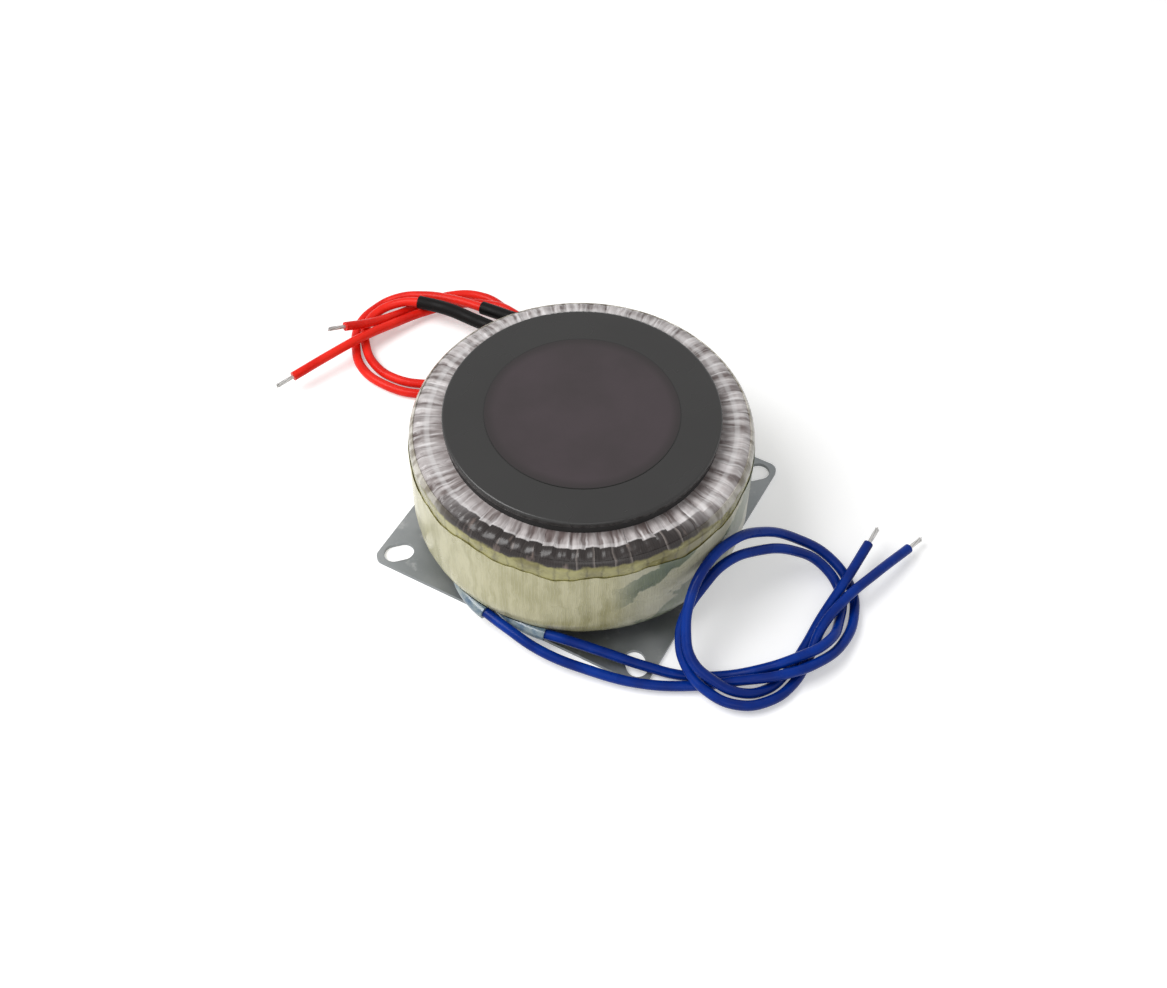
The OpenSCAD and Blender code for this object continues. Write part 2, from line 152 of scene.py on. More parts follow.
def smooth(thing, degrees=40):
    pick(thing)
    bpy.ops.object.shade_smooth_by_angle(angle=math.radians(degrees))


def around(radius, height, degrees):
    """A point at that distance from the axis."""
    angle = math.radians(degrees)
    return Vector((radius * math.cos(angle), radius * math.sin(angle), height))


# ---------------------------------------------------------------------------
# Camera and light
# ---------------------------------------------------------------------------

def place_camera():
    data = bpy.data.cameras.new("camera")
    data.sensor_width = 36
    data.lens = 50.06
    data.clip_start = 0.01
    camera = bpy.data.objects.new("camera", data)
    bpy.context.scene.collection.objects.link(camera)
    stand = Vector((-0.0699, -0.2303, 0.3166))
    aim = Vector((0.0024, 0.0057, 0))
    turn = (aim - stand).to_track_quat("-Z", "Y").to_matrix().to_4x4()
    camera.matrix_world = Matrix.Translation(stand) @ turn @ Matrix.Rotation(math.radians(1.04), 4, "Z")
    bpy.context.scene.camera = camera


def softbox(name, stand, aim, side, power):
    data = bpy.data.lights.new(name, "AREA")
    data.shape = "SQUARE"
    data.size = side
    data.energy = power
    lamp = bpy.data.objects.new(name, data)
    bpy.context.scene.collection.objects.link(lamp)
    turn = (Vector(aim) - Vector(stand)).to_track_quat("-Z", "Y").to_matrix().to_4x4()
    lamp.matrix_world = Matrix.Translation(stand) @ turn


place_camera()
softbox("key_light", (-0.42, 0.05, 0.6), (0, 0, 0.02), 0.45, 4.0)
softbox("front_light", (-0.15, -0.65, 0.5), (0, 0, 0.02), 0.5, 0.8)


# ---------------------------------------------------------------------------
# Leads
# ---------------------------------------------------------------------------

def exit_start(round_degrees, up_degrees, straight, radius):
    """Where a lead leaves the side: on the foot arc, along the side and a little away from it."""
    reach = foot + exit_gap + radius
    up = math.radians(up_degrees)
    centre_r = film_radius - foot
    centre_z = film_bottom + foot
    start = around(centre_r + reach * math.sin(up), centre_z - reach * math.cos(up), round_degrees)
    way = math.radians(round_degrees - 7)
    forward = Vector((-math.sin(way), math.cos(way), 0))
    return [start, start + forward * straight * MM]


def route(start, points):
    return start + [Vector(point) * MM for point in points]


blue_a_route = route(exit_start(-140, 55, 6, lead_radius), [
    (-20.5, -38, 4), (-11, -45.5, 3), (-1, -51.5, 2.5), (10, -55, 2), (20.5, -57.5, 3.5),
    (29.5, -59.5, 5), (38.5, -58.5, 4.5), (47, -54, 2.5), (53, -46.5, 1.5), (55, -39, 1.5),
    (52.5, -32.5, 4.5), (44.5, -28.5, 10.5), (34.5, -29, 17.5), (25, -33, 22), (17.5, -38, 22),
    (13, -42.5, 18.5), (10.5, -47.5, 13.5), (10.5, -52.5, 9), (14, -57, 6), (19.5, -60.5, 3.5),
    (26, -60.5, 2), (32.5, -57, 1.5), (38.5, -52, 1.5), (44.5, -46.5, 3), (52.5, -40, 5),
    (62, -31.5, 6),
])
blue_b_route = route(exit_start(-118, 55, 5, lead_radius), [
    (-6.5, -42.5, 4), (1.5, -47.5, 2.5), (9, -51.5, 1.5), (17, -54, 1.5), (25.5, -56, 3.5),
    (34, -56.5, 5.5), (42.5, -54.5, 5.5), (48.5, -48, 2.5), (52, -40, 1.5), (50, -34, 4.5),
    (42.5, -31.5, 10.5), (32.5, -32.5, 15.5), (23.5, -35.5, 18), (17, -39.5, 17),
    (12, -43, 13.5), (9.5, -47, 9.5), (9.5, -52, 6), (12.5, -58.5, 4), (18, -63, 3),
    (25.5, -63.5, 2), (32.5, -60.5, 1.5), (38, -55.5, 2.5), (43.5, -49.5, 4.5),
    (51, -44.5, 5.5), (60.5, -39.5, 5), (72, -33.5, 3),
])
red_a_route = route(exit_start(66, 74, 6, sleeve_radius), [
    (5, 47.5, 8), (-2.5, 56, 7), (-10, 64, 6.5), (-16.5, 70.5, 6.5), (-23, 75.5, 6),
    (-29, 78, 4.5), (-34.5, 77, 3.5), (-38, 73.5, 3), (-39.5, 67.5, 2), (-38.5, 60.5, 1.5),
    (-34.5, 54.5, 1.5), (-27.5, 50.5, 1.5), (-18.5, 49, 1.5), (-9.5, 51, 2), (-3, 57, 2),
    (0, 65, 1.5), (-1.5, 72.5, 1.5), (-6.5, 78, 1.5), (-13.5, 80, 1.5), (-21, 79, 1.5),
    (-29, 76, 2.5), (-36.5, 72.5, 5), (-44, 70, 8),
])
red_b_route = route(exit_start(40, 74, 6, sleeve_radius), [
    (23, 39, 8.5), (16, 47, 8), (8, 54.5, 7.5), (0, 61.5, 7), (-7.5, 68.5, 6.5),
    (-14, 74.5, 5.5), (-21, 79, 4.5), (-28, 81, 3.5), (-34.5, 80, 2), (-39.5, 76, 1.5),
    (-42, 68.5, 1.5), (-42, 60.5, 1.5), (-37.5, 53, 1.5), (-29.5, 47.5, 1.5), (-19, 45.5, 2),
    (-8, 48, 2.5), (0, 53.5, 3), (2.5, 60.5, 4), (-0.5, 67.5, 4.5), (-6, 72.5, 3.5),
    (-13.5, 75.5, 2.5), (-22, 75, 2.5), (-31, 72, 3.5), (-40, 68, 5), (-49.5, 63.5, 5.5),
    (-60, 59, 5),
])
sleeve_points = 7


def bezier_through(name, points, radius):
    """A round cord on one smooth curve through the points."""
    data = bpy.data.curves.new(name, "CURVE")
    data.dimensions = "3D"
    data.bevel_depth = radius
    data.bevel_resolution = 5
    data.resolution_u = 10
    data.use_fill_caps = True
    spline = data.splines.new("BEZIER")
    spline.bezier_points.add(len(points) - 1)
    for knot, point in zip(spline.bezier_points, points):
        knot.co = point
        knot.handle_left_type = "AUTO"
        knot.handle_right_type = "AUTO"
    thing = bpy.data.objects.new(name, data)
    bpy.context.scene.collection.objects.link(thing)
    return thing


def route_length(points):
    return sum((b - a).length for a, b in zip(points, points[1:]))


# ---------------------------------------------------------------------------
# Materials
# ---------------------------------------------------------------------------

def node_group(name, inputs, outputs):
    """An empty group with named numbers in and out, and its two end nodes."""
    tree = bpy.data.node_groups.new(name, "ShaderNodeTree")
    for label, value in inputs:
        socket = tree.interface.new_socket(label, in_out="INPUT", socket_type="NodeSocketFloat")
        socket.default_value = value
    for label in outputs:
        tree.interface.new_socket(label, in_out="OUTPUT", socket_type="NodeSocketFloat")
    return tree, tree.nodes.new("NodeGroupInput"), tree.nodes.new("NodeGroupOutput")


def math_node(tree, operation, *values, clamp=False):
    """A math node fed by sockets or plain numbers."""
    node = tree.nodes.new("ShaderNodeMath")
    node.operation = operation
    node.use_clamp = clamp
    for socket, value in zip(node.inputs, values):
        if isinstance(value, bpy.types.NodeSocket):
            tree.links.new(value, socket)
        else:
            socket.default_value = value
    return node.outputs[0]


def ramp(tree, value, low, high, low_to=0.0, high_to=1.0):
    """Maps low..high to low_to..high_to with soft ends."""
    node = tree.nodes.new("ShaderNodeMapRange")
    node.interpolation_type = "SMOOTHSTEP"
    tree.links.new(value, node.inputs["Value"])
    for label, number in zip(("From Min", "From Max", "To Min", "To Max"), (low, high, low_to, high_to)):
        node.inputs[label].default_value = number
    return node.outputs["Result"]


def noise(tree, vector, scale, detail=3.0, roughness=0.5, stretch=(1, 1, 1)):
    """A noise value over the surface, finer along an axis where stretch is above one."""
    if stretch != (1, 1, 1):
        mapping = tree.nodes.new("ShaderNodeMapping")
        mapping.inputs["Scale"].default_value = stretch
        tree.links.new(vector, mapping.inputs["Vector"])
        vector = mapping.outputs["Vector"]
    node = tree.nodes.new("ShaderNodeTexNoise")
    tree.links.new(vector, node.inputs["Vector"])
    if isinstance(scale, bpy.types.NodeSocket):
        tree.links.new(scale, node.inputs["Scale"])
    else:
        node.inputs["Scale"].default_value = scale
    node.inputs["Detail"].default_value = detail
    node.inputs["Roughness"].default_value = roughness
    return node.outputs[0]


def own_place(tree):
    return tree.nodes.new("ShaderNodeTexCoord").outputs["Object"]


def build_grain():
    """Cloudy tone at one scale and fine relief at another."""
    tree, given, out = node_group("grain", [("Cloud Scale", 100), ("Fine Scale", 2000)], ["Cloud", "Fine"])
    place = own_place(tree)
    tree.links.new(noise(tree, place, given.outputs["Cloud Scale"], 4), out.inputs["Cloud"])
    tree.links.new(noise(tree, place, given.outputs["Fine Scale"], 2), out.inputs["Fine"])
    return tree


def build_turn_pattern():
    """Turns of film round the ring: a tone for each turn, its place across the turn, and its edge."""
    tree, given, out = node_group(
        "film_turns", [("Turns", 72), ("Wander", 0.5), ("Lean", 0)], ["Tone", "Across", "Edge", "Crease"]
    )
    place = own_place(tree)
    parts = tree.nodes.new("ShaderNodeSeparateXYZ")
    tree.links.new(place, parts.inputs[0])
    angle = math_node(tree, "ARCTAN2", parts.outputs["Y"], parts.outputs["X"])
    share = math_node(tree, "DIVIDE", angle, 2 * math.pi)
    count = math_node(tree, "MULTIPLY", share, given.outputs["Turns"])
    lean = math_node(tree, "MULTIPLY", parts.outputs["Z"], given.outputs["Lean"])
    sway = math_node(tree, "SUBTRACT", noise(tree, place, 260, 2), 0.5)
    sway = math_node(tree, "MULTIPLY", sway, given.outputs["Wander"])
    count = math_node(tree, "ADD", math_node(tree, "ADD", count, lean), sway)
    turn = math_node(tree, "FLOOR", count)
    across = math_node(tree, "FRACT", count)
    dice = tree.nodes.new("ShaderNodeTexWhiteNoise")
    dice.noise_dimensions = "1D"
    tree.links.new(turn, dice.inputs["W"])
    reach = tree.nodes.new("ShaderNodeVectorMath")
    reach.operation = "LENGTH"
    flat = tree.nodes.new("ShaderNodeCombineXYZ")
    tree.links.new(parts.outputs["X"], flat.inputs["X"])
    tree.links.new(parts.outputs["Y"], flat.inputs["Y"])
    tree.links.new(flat.outputs[0], reach.inputs[0])
    along = math_node(tree, "SUBTRACT", reach.outputs["Value"], parts.outputs["Z"])
    wrapped = tree.nodes.new("ShaderNodeCombineXYZ")
    tree.links.new(math_node(tree, "MULTIPLY", count, 1.5), wrapped.inputs["X"])
    tree.links.new(math_node(tree, "MULTIPLY", along, 80.0), wrapped.inputs["Y"])
    tree.links.new(noise(tree, wrapped.outputs[0], 1.0, 3, 0.5), out.inputs["Crease"])
    edge = math_node(tree, "PINGPONG", math_node(tree, "ADD", across, 0.5), 0.5)
    tree.links.new(dice.outputs["Value"], out.inputs["Tone"])
    tree.links.new(across, out.inputs["Across"])
    tree.links.new(ramp(tree, edge, 0.34, 0.5), out.inputs["Edge"])
    return tree


grain_group = build_grain()
turn_group = build_turn_pattern()


class Surface:
    """A material under construction: its tree, its shader and short ways to fill them."""

    def __init__(self, name, **values):
        self.made = bpy.data.materials.new(name)
        self.made.use_nodes = True
        self.tree = self.made.node_tree
        self.shader = self.tree.nodes["Principled BSDF"]
        self.set(**values)

    def set(self, **values):
        for label, value in values.items():
            socket = self.shader.inputs[label.replace("_", " ")]
            if isinstance(value, tuple) and len(value) == 3:
                value = (*value, 1)
            socket.default_value = value

    def link(self, value, label):
        self.tree.links.new(value, self.shader.inputs[label])

    def group(self, tree, **values):
        node = self.tree.nodes.new("ShaderNodeGroup")
        node.node_tree = tree
        for label, value in values.items():
            node.inputs[label.replace("_", " ")].default_value = value
        return node.outputs

    def blend(self, factor, first, second):
        """A colour between two others, each a tuple or a socket."""
        node = self.tree.nodes.new("ShaderNodeMix")
        node.data_type = "RGBA"
        if isinstance(factor, bpy.types.NodeSocket):
            self.tree.links.new(factor, node.inputs["Factor"])
        else:
            node.inputs["Factor"].default_value = factor
        for socket, colour in zip((node.inputs[6], node.inputs[7]), (first, second)):
            if isinstance(colour, tuple):
                socket.default_value = (*colour, 1)
            else:
                self.tree.links.new(colour, socket)
        return node.outputs[2]

    def relief(self, height, distance, strength=1.0):
        node = self.tree.nodes.new("ShaderNodeBump")
        node.inputs["Strength"].default_value = strength
        node.inputs["Distance"].default_value = distance
        self.tree.links.new(height, node.inputs["Height"])
        self.link(node.outputs["Normal"], "Normal")

    def math(self, operation, *values, clamp=False):
        return math_node(self.tree, operation, *values, clamp=clamp)

    def ramp(self, value, *numbers):
        return ramp(self.tree, value, *numbers)

    def place(self):
        parts = self.tree.nodes.new("ShaderNodeSeparateXYZ")
        where = own_place(self.tree)
        self.tree.links.new(where, parts.inputs[0])
        return where, parts.outputs["X"], parts.outputs["Y"], parts.outputs["Z"]

    def reach(self, x, y):
        """The distance from the axis."""
        return self.math("SQRT", self.math("ADD", self.math("MULTIPLY", x, x), self.math("MULTIPLY", y, y)))

    def noise(self, where, scale, detail=3.0, roughness=0.5, stretch=(1, 1, 1)):
        return noise(self.tree, where, scale, detail, roughness, stretch)

    def dark_blocks(self, block, streak):
        """The brown-black of the winding outside the ridge, deepened with painted shade, with a few lighter
        gaps.
        """
        dark = self.blend(self.ramp(block["Crease"], 0.6, 0.72), (0.011, 0.006, 0.005), (0.16, 0.12, 0.105))
        light = self.math("MULTIPLY", block["Edge"], self.ramp(block["Tone"], 0.5, 0.9, 0.0, 0.6))
        dark = self.blend(light, dark, (0.3, 0.26, 0.24))
        return self.blend(self.math("MULTIPLY", streak["Edge"], 0.05), dark, (0.3, 0.27, 0.26))

    def front_shade_share(self, x, y):
        """Painted shade: one along the front, away from the key light, where the dark winding shows, falling
        to a little elsewhere.
        """
        side = self.math("ADD", self.math("MULTIPLY", y, 0.94), self.math("MULTIPLY", x, 0.34))
        return self.ramp(side, -19 * MM, -31 * MM, 0.1, 1.0)

    def outside_ridge(self, turn, radius, front):
        """One outside the ridge line, which steps from turn to turn and lies further in at the front."""
        sway = self.math("MULTIPLY", self.math("SUBTRACT", turn["Tone"], 0.5), 0.0009)
        sway = self.math("ADD", sway, self.math("MULTIPLY", front, 1.5 * MM))
        return self.ramp(self.math("ADD", radius, sway), 36.8 * MM, 37.15 * MM)


def plate_steel():
    s = Surface("plate_steel", Metallic=0.85)
    where = own_place(s.tree)
    grain = s.group(grain_group, Cloud_Scale=45, Fine_Scale=1400)
    worn = s.ramp(s.noise(where, 160, 6, 0.65), 0.56, 0.7)
    tone = s.blend(s.ramp(grain["Cloud"], 0.35, 0.7), (0.21, 0.225, 0.23), (0.31, 0.32, 0.325))
    s.link(s.blend(s.math("MULTIPLY", worn, 0.5), tone, (0.5, 0.5, 0.5)), "Base Color")
    s.link(s.ramp(grain["Cloud"], 0.3, 0.7, 0.42, 0.58), "Roughness")
    s.relief(grain["Fine"], 0.00004, 0.5)
    return s.made


def pad_rubber():
    s = Surface("pad_rubber", Roughness=0.75)
    grain = s.group(grain_group, Cloud_Scale=300, Fine_Scale=3000)
    s.link(s.blend(grain["Cloud"], (0.006, 0.006, 0.006), (0.016, 0.015, 0.015)), "Base Color")
    s.relief(grain["Fine"], 0.0001, 0.6)
    return s.made


def cover_paint():
    s = Surface("cover_paint", Specular_IOR_Level=0.42)
    grain = s.group(grain_group, Cloud_Scale=70, Fine_Scale=900)
    s.link(s.blend(grain["Cloud"], (0.019, 0.018, 0.0175), (0.025, 0.0242, 0.0235)), "Base Color")
    s.link(s.ramp(grain["Cloud"], 0.3, 0.7, 0.24, 0.3), "Roughness")
    s.relief(grain["Fine"], 0.00001, 0.2)
    return s.made


def label_print():
    s = Surface("label_print", Specular_IOR_Level=0.42)
    _, x, y, _ = s.place()
    radius = s.reach(x, y)
    grain = s.group(grain_group, Cloud_Scale=60, Fine_Scale=1600)
    tone = s.blend(s.ramp(grain["Cloud"], 0.3, 0.7), (0.03, 0.021, 0.0235), (0.04, 0.0275, 0.0325))
    rim = s.ramp(radius, 0.0195, 0.0222)
    tone = s.blend(rim, tone, (0.019, 0.0135, 0.0145))
    s.link(s.blend(s.ramp(radius, 0.02215, 0.0223), tone, (0.006, 0.005, 0.005)), "Base Color")
    s.link(s.ramp(grain["Cloud"], 0.3, 0.7, 0.3, 0.38), "Roughness")
    s.relief(grain["Fine"], 0.00001, 0.2)
    return s.made


def pvc(name, deep, bright):
    s = Surface(name, Specular_IOR_Level=0.14)
    grain = s.group(grain_group, Cloud_Scale=120, Fine_Scale=1500)
    s.link(s.blend(s.ramp(grain["Cloud"], 0.3, 0.7), deep, bright), "Base Color")
    s.link(s.ramp(grain["Cloud"], 0.3, 0.7, 0.2, 0.32), "Roughness")
    s.relief(grain["Fine"], 0.00002, 0.25)
    return s.made


def sleeve_black():
    s = Surface("sleeve_black", Specular_IOR_Level=0.12)
    grain = s.group(grain_group, Cloud_Scale=220, Fine_Scale=2500)
    s.link(s.blend(grain["Cloud"], (0.0025, 0.002, 0.002), (0.006, 0.005, 0.005)), "Base Color")
    s.link(s.ramp(grain["Cloud"], 0.3, 0.7, 0.42, 0.6), "Roughness")
    s.relief(grain["Fine"], 0.00005, 0.5)
    return s.made


def tinned():
    s = Surface("tinned", Metallic=1.0)
    grain = s.group(grain_group, Cloud_Scale=900, Fine_Scale=4000)
    s.link(s.blend(grain["Cloud"], (0.42, 0.41, 0.4), (0.72, 0.71, 0.7)), "Base Color")
    s.link(s.ramp(grain["Cloud"], 0.3, 0.7, 0.28, 0.5), "Roughness")
    s.relief(grain["Fine"], 0.00004, 0.4)
    return s.made


def zinc():
    s = Surface("zinc", Metallic=1.0)
    grain = s.group(grain_group, Cloud_Scale=400, Fine_Scale=3000)
    s.link(s.blend(grain["Cloud"], (0.5, 0.5, 0.52), (0.68, 0.68, 0.7)), "Base Color")
    s.link(s.ramp(grain["Cloud"], 0.3, 0.7, 0.25, 0.42), "Roughness")
    s.relief(grain["Fine"], 0.00003, 0.4)
    return s.made


def copper():
    s = Surface("copper", Metallic=1.0)
    turn = s.group(turn_group, Turns=240, Wander=0.3)
    s.link(s.blend(turn["Tone"], (0.5, 0.2, 0.1), (0.75, 0.38, 0.22)), "Base Color")
    s.link(s.ramp(turn["Tone"], 0, 1, 0.25, 0.4), "Roughness")
    s.relief(turn["Edge"], 0.0003, 0.5)
    return s.made


def core_steel():
    s = Surface("core_steel", Metallic=1.0)
    where = own_place(s.tree)
    strip = s.noise(where, 60, 3, 0.5, (1, 1, 40))
    s.link(s.blend(strip, (0.3, 0.31, 0.33), (0.5, 0.51, 0.53)), "Base Color")
    s.link(s.ramp(strip, 0.3, 0.7, 0.3, 0.5), "Roughness")
    return s.made


def wrap_film():
    """Clear film in many turns: silvery with brown gaps, painted shade in the creases and towards the disc,
    painted highlights on the folds and along the ridge, and dark blocks outside the ridge deepened by
    painted shade along the front.
    """
    s = Surface("wrap_film", Coat_Weight=0.2, Coat_Roughness=0.22, Specular_IOR_Level=0.35)
    where, x, y, _ = s.place()
    radius = s.reach(x, y)
    turn = s.group(turn_group, Turns=turns, Wander=0.35)
    fold = s.group(turn_group, Turns=150, Wander=0.9)
    streak = s.group(turn_group, Turns=420, Wander=2.4)
    block = s.group(turn_group, Turns=60, Wander=0.25)
    haze = s.noise(where, 420, 4, 0.6)
    broad = s.noise(where, 38, 2)
    # Darker brown in the creases: partly the brown of the winding under the film, partly painted shade.
    pale = s.blend(s.ramp(turn["Crease"], 0.36, 0.62), (0.12, 0.09, 0.085), (0.56, 0.52, 0.515))
    pale = s.blend(s.math("MULTIPLY", s.ramp(turn["Tone"], 0.3, 0.9), 0.4), pale, (0.6, 0.565, 0.565))
    # Painted highlights: pale streaks on the folds of the film.
    pale = s.blend(s.math("MULTIPLY", s.ramp(fold["Crease"], 0.5, 0.68), 0.6), pale, (0.84, 0.82, 0.82))
    gap = s.math("MULTIPLY", turn["Edge"], s.ramp(fold["Crease"], 0.6, 0.4))
    gap = s.math("MULTIPLY", gap, s.ramp(broad, 0.3, 0.6, 0.2, 0.75))
    pale = s.blend(gap, pale, (0.06, 0.033, 0.03))
    # Painted shade: the film darkens towards the cover disc.
    disc_shade = s.ramp(radius, 34.2 * MM, 32.2 * MM)
    pale = s.blend(s.math("MULTIPLY", disc_shade, 0.45), pale, (0.2, 0.16, 0.155))
    # Painted highlight: a bright line along the ridge of the film.
    ridge = s.math("MULTIPLY", s.ramp(radius, 34.6 * MM, 35.1 * MM), s.ramp(radius, 36.4 * MM, 35.6 * MM))
    pale = s.blend(s.math("MULTIPLY", ridge, 0.3), pale, (0.85, 0.84, 0.84))
    # Painted shade: the dark blocks outside the ridge show along the front only.
    front = s.front_shade_share(x, y)
    dark = s.math("MULTIPLY", s.outside_ridge(turn, radius, front), front)
    s.link(s.blend(dark, pale, s.dark_blocks(block, streak)), "Base Color")
    s.link(s.ramp(haze, 0.3, 0.7, 0.26, 0.4), "Roughness")
    height = s.math("ADD", s.math("MULTIPLY", turn["Crease"], 1.2), s.math("MULTIPLY", fold["Crease"], 0.6))
    s.relief(s.math("ADD", height, s.math("MULTIPLY", haze, 0.1)), 0.00025, 0.5)
    return s.made


def olive_tape():
    """Clear yellowish tape: the dark blocks, with their painted shade along the front, show through its top,
    and it goes olive below them.
    """
    s = Surface("olive_tape", Coat_Weight=0.25, Coat_Roughness=0.06, Specular_IOR_Level=0.4)
    where, x, y, z = s.place()
    turn = s.group(turn_group, Turns=turns, Wander=0.8)
    block = s.group(turn_group, Turns=60, Wander=0.25)
    streak = s.group(turn_group, Turns=420, Wander=2.4)
    cloud = s.noise(where, 150, 4, 0.6)
    tone = s.blend(s.ramp(cloud, 0.35, 0.65), (0.17, 0.15, 0.045), (0.37, 0.345, 0.13))
    tone = s.blend(s.math("MULTIPLY", turn["Edge"], 0.35), tone, (0.05, 0.042, 0.018))
    sway = s.math("MULTIPLY", s.math("SUBTRACT", cloud, 0.5), 0.004)
    # Painted shade: the dark blocks show through the top of the tape along the front only.
    front = s.front_shade_share(x, y)
    rise = s.math("SUBTRACT", z, s.math("MULTIPLY", front, 0.7 * MM))
    upper = s.ramp(s.math("ADD", rise, sway), 31.5 * MM, 32.2 * MM)
    # Film seen through the tape, darker in the creases: partly the brown of the winding, partly painted
    # shade.
    clear = s.blend(s.ramp(turn["Crease"], 0.36, 0.62), (0.2, 0.17, 0.12), (0.6, 0.57, 0.5))
    shown = s.blend(front, clear, s.dark_blocks(block, streak))
    s.link(s.blend(upper, tone, shown), "Base Color")
    s.link(s.ramp(cloud, 0.3, 0.7, 0.2, 0.34), "Roughness")
    s.relief(s.math("ADD", turn["Across"], cloud), 0.0003, 0.6)
    return s.made


def side_tape_finish():
    """Cream tape: faint upright streaks of the turns below, grey-green where it has wetted out and in spots
    towards the bottom, all on the front.
    """
    s = Surface("side_tape", Coat_Weight=0.35, Coat_Roughness=0.15)
    where, x, y, z = s.place()
    turn = s.group(turn_group, Turns=turns, Wander=0.9)
    fine = s.group(turn_group, Turns=310, Wander=1.6)
    cloud = s.noise(where, 45, 5, 0.6)
    broad = s.noise(where, 22, 2)
    tone = s.blend(s.ramp(turn["Crease"], 0.35, 0.65), (0.34, 0.315, 0.145), (0.47, 0.44, 0.25))
    tone = s.blend(s.math("MULTIPLY", fine["Edge"], 0.3), tone, (0.64, 0.62, 0.4))
    right = s.ramp(s.math("ADD", x, s.math("MULTIPLY", s.math("SUBTRACT", broad, 0.5), 0.03)), -0.008, 0.003)
    tone = s.blend(s.math("MULTIPLY", right, 0.75), tone, (0.46, 0.45, 0.33))
    lean = s.math("SUBTRACT", z, s.math("MULTIPLY", x, 0.7))
    lean = s.math("ADD", lean, s.math("MULTIPLY", s.math("SUBTRACT", cloud, 0.5), 0.035))
    patch = s.math("PINGPONG", s.math("ADD", lean, 0.0045), 9 * MM)
    grey_green_share = s.math("MULTIPLY", s.ramp(patch, 3.6 * MM, 4.6 * MM), right)
    # Darker grey-green spots towards the bottom of the tape.
    low = s.math("MULTIPLY", s.ramp(z, 9 * MM, 6.5 * MM), s.ramp(cloud, 0.42, 0.55))
    grey_green_share = s.math("MAXIMUM", grey_green_share, s.math("MULTIPLY", low, 0.8))
    grey_green_share = s.math("MULTIPLY", grey_green_share, s.ramp(y, 0.012, -0.004))
    dim = s.blend(s.ramp(cloud, 0.3, 0.7), (0.075, 0.1, 0.055), (0.17, 0.205, 0.115))
    s.link(s.blend(s.math("MULTIPLY", grey_green_share, 0.92), tone, dim), "Base Color")
    s.link(s.ramp(cloud, 0.3, 0.7, 0.2, 0.38), "Roughness")
    height = s.math("ADD", turn["Across"], s.math("MULTIPLY", fine["Edge"], 0.35))
    height = s.math("ADD", height, s.math("MULTIPLY", grey_green_share, -0.5))
    s.relief(height, 0.0003, 0.45)
    return s.made


def exit_tape_finish():
    """The same thin tape drawn tight over a blue lead, which shows through it."""
    s = Surface("exit_tape", Coat_Weight=0.5, Coat_Roughness=0.12)
    grain = s.group(grain_group, Cloud_Scale=350, Fine_Scale=1800)
    s.link(s.blend(s.ramp(grain["Cloud"], 0.35, 0.65), (0.07, 0.13, 0.2), (0.25, 0.3, 0.3)), "Base Color")
    s.link(s.ramp(grain["Cloud"], 0.3, 0.7, 0.2, 0.4), "Roughness")
    s.relief(grain["Cloud"], 0.0002, 0.6)
    return s.made


finishes = {
    "plate_steel": plate_steel(),
    "pad_rubber": pad_rubber(),
    "core_steel": core_steel(),
    "wrap_film": wrap_film(),
    "copper": copper(),
    "olive_tape": olive_tape(),
    "side_tape": side_tape_finish(),
    "cover_paint": cover_paint(),
    "zinc": zinc(),
    "label_print": label_print(),
    "blue_pvc": pvc("blue_pvc", (0.0003, 0.017, 0.17), (0.0006, 0.032, 0.27)),
    "red_pvc": pvc("red_pvc", (0.68, 0.012, 0.007), (0.88, 0.028, 0.016)),
    "sleeve_black": sleeve_black(),
    "tinned": tinned(),
}

for subpart in frame["record"]["subparts"]:
    node = frame["nodes"][subpart["node"]]
    for place in node.material_slots:
        place.material = finishes[subpart["material_slot"]]


exit_finish = exit_tape_finish()
for place in frame["nodes"]["blue_exit_tape"].material_slots:
    place.material = exit_finish


# ---------------------------------------------------------------------------
# The lapped film and the tape round the side
# ---------------------------------------------------------------------------

def film_outline():
    """The section of the film, round from its foot: a point, its outward way and how far laps may stand."""
    low, high = film_bottom, film_top
    arcs = [
        (film_radius - foot, low + foot, foot, -90, 0, 8),
        (film_radius - shoulder, high - shoulder, shoulder, 0, 90, 12),
        (hole_radius + hole_corner, high - hole_corner, hole_corner, 90, 180, 6),
        (hole_radius + hole_corner, low + hole_corner, hole_corner, 180, 270, 6),
    ]
    rows = []
    for number, (centre_r, centre_z, reach, first, last, steps) in enumerate(arcs):
        for step in range(steps + 1):
            degrees = first + (last - first) * step / steps
            turn = math.radians(degrees)
            way = (math.cos(turn), math.sin(turn))
            share = min(1, max(0, (degrees - 42) / 22)) if number == 1 else 0
            rows.append((centre_r + reach * way[0], centre_z + reach * way[1], *way, share))
        if number == 1:
            for step in range(1, 8):
                share = step / 8
                radius = film_radius - shoulder + (pad_radius + 0.1 * MM - film_radius + shoulder) * share
                rows.append((radius, high, 0, 1, 1 if share < 0.8 else 0.6))
            rows.append((pad_radius + 0.1 * MM, high, 0, 1, 0))
    return rows


def lap_height(degrees):
    """How far the film stands out there: each turn rises to its edge and then steps down."""
    count = degrees / 360 * turns
    number = math.floor(count)
    across = count - number
    tall = 0.72 + 0.2 * math.sin(number * 2.39) + 0.08 * math.cos(number * 1.06)
    edge = 0.68 + 0.16 * math.sin(number * 1.45)
    rise = across / edge if across < edge else 1 - (across - edge) / (1 - edge)
    crease = 0.16 * math.sin(2 * math.pi * (across * 3 + 0.37 * number))
    return lap * (tall * (2 * rise - 1) + crease)


